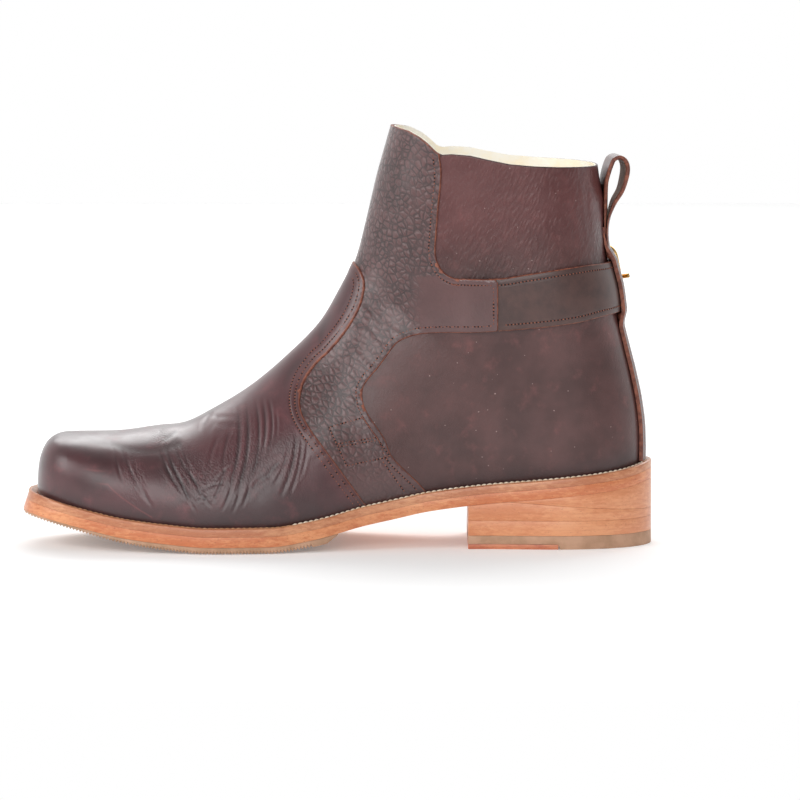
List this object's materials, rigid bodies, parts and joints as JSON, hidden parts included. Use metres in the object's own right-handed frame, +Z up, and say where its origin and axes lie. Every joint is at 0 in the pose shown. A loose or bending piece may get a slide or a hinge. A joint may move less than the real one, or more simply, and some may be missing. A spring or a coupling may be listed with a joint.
{
  "type": "jodhpur boot",
  "caption": "Right ankle boot in leather with a strap round the ankle, a side buckle, a pull loop at the back, a welted leather sole and a stacked heel.",
  "frame": {"origin": "middle of the heel's flat rubber, on the floor", "axes": "+X from the heel towards the toe, +Y to the inner (medial) side, +Z up"},
  "size_m": [0.305, 0.1054, 0.2029],
  "materials": {
    "upper_leather": "waxed aniline leather, semi-gloss, worn",
    "strap_leather": "waxed leather, semi-gloss",
    "lining_leather": "undyed lining leather, matte",
    "welt_leather": "natural veg-tanned leather",
    "sole_leather": "natural sole leather, waxed edge",
    "sole_rubber": "tan rubber, matte",
    "brass": "polished brass"
  },
  "bodies": {
    "root": {"upper": "upper_leather", "insole": "lining_leather", "welt": "welt_leather", "outsole": "sole_leather", "half_sole": "sole_rubber", "heel_wedge": "sole_leather", "heel_lift_upper": "sole_leather", "heel_lift_lower": "sole_leather", "top_lift": "sole_rubber", "top_lift_insert": "sole_leather", "ankle_strap": "strap_leather", "buckle_billet": "strap_leather", "strap_keeper": "strap_leather", "back_strip": "strap_leather", "buckle_frame": "brass", "buckle_prong": "brass"}
  },
  "joints": []
}
